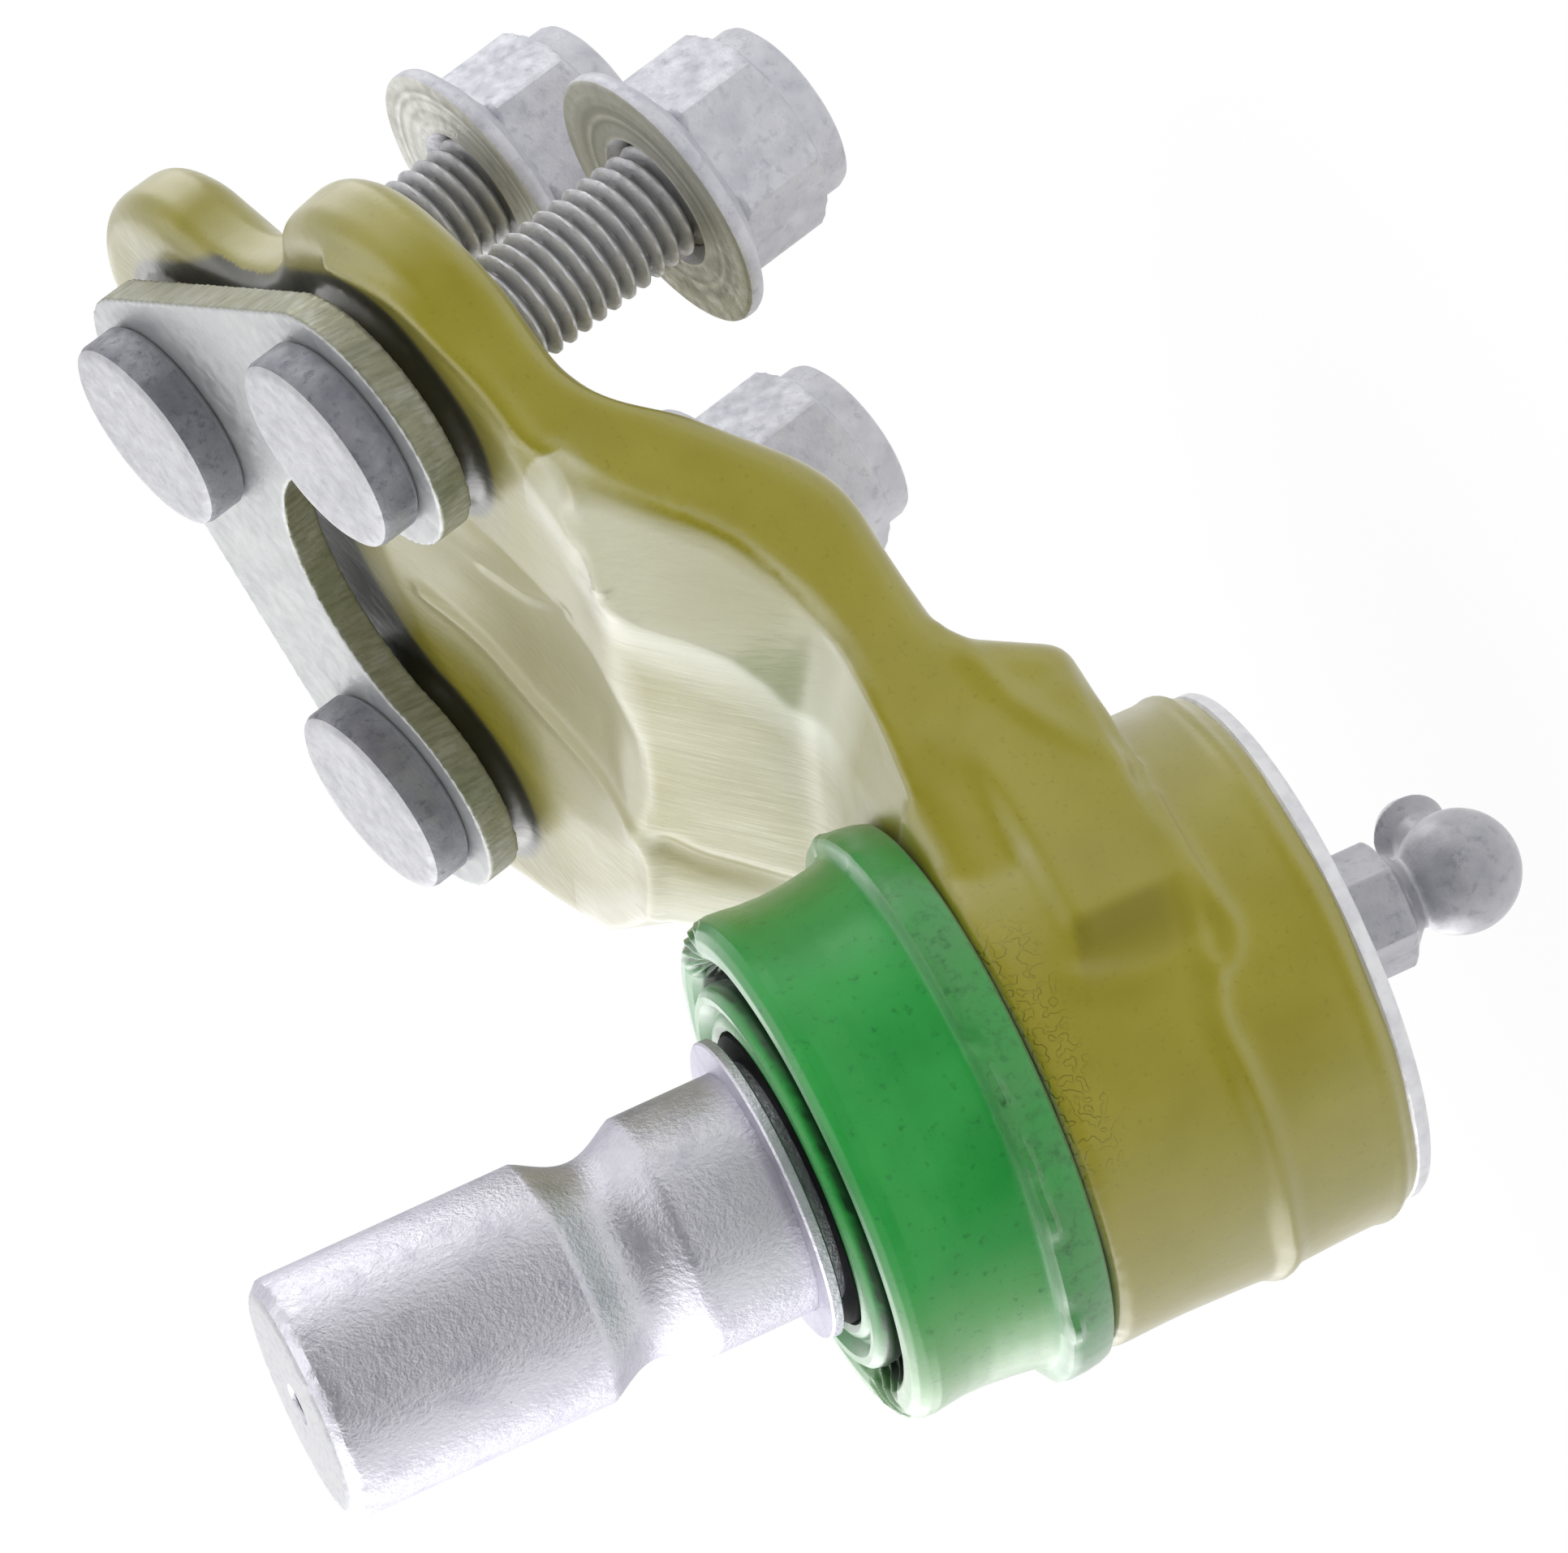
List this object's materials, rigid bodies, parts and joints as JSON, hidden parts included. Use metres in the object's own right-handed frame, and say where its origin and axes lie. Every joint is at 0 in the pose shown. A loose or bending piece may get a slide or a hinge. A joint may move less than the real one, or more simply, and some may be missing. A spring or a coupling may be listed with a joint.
{
  "type": "suspension ball joint",
  "caption": "Ball stud in a forged cup whose painted arm bolts to a control arm through a clamp plate, with a rubber dust boot and an angled grease nipple.",
  "frame": {"origin": "centre of the ball", "axes": "+Z along the stud at rest, towards its free end; +X along the arm towards the bolted flange; the arm is symmetric about the XZ plane"},
  "size_m": [0.1282, 0.0856, 0.1052],
  "materials": {
    "painted_forging": "glossy olive-gold paint over a forged skin",
    "zinc_flake": "matt zinc-flake coating with darker mottling",
    "bright_zinc": "light grey zinc plate, satin",
    "stud_steel": "satin plated steel with fine grain",
    "boot_rubber": "glossy green moulded rubber",
    "seat_rubber": "matt black rubber",
    "seat_plastic": "natural moulded acetal",
    "spring_steel": "plain spring steel"
  },
  "bodies": {
    "housing": {"forged_housing": "painted_forging", "upper_seat": "seat_plastic", "lower_seat": "seat_plastic", "preload_ring": "seat_rubber", "cover_plate": "bright_zinc", "nipple_body": "zinc_flake", "nipple_head": "zinc_flake", "nipple_check_ball": "spring_steel", "nipple_spring": "spring_steel", "clamp_plate": "bright_zinc", "bolt_a": "zinc_flake", "bolt_b": "zinc_flake", "bolt_c": "zinc_flake", "nut_a": "zinc_flake", "nut_b": "zinc_flake", "nut_c": "zinc_flake"},
    "boot_ring": {"boot_clamp_ring": "spring_steel", "dust_boot": "boot_rubber"},
    "boot_lip": {"boot_lip_ring": "boot_rubber", "boot_lip_insert": "spring_steel"},
    "stud": {"ball_stud": "stud_steel", "stud_collar": "stud_steel"}
  },
  "joints": [
    {"name": "boot_turn", "type": "hinge", "parent": "housing", "child": "boot_ring", "pos_m": [0, 0, 0], "axis": [0, 0, 1], "continuous": true},
    {"name": "stud_swing", "type": "hinge", "parent": "boot_ring", "child": "boot_lip", "pos_m": [0, 0, 0], "axis": [0, 1, 0], "range_deg": [-25, 25], "deforming": ["dust_boot"]},
    {"name": "stud_turn", "type": "hinge", "parent": "boot_lip", "child": "stud", "pos_m": [0, 0, 0], "axis": [0, 0, 1], "continuous": true}
  ]
}
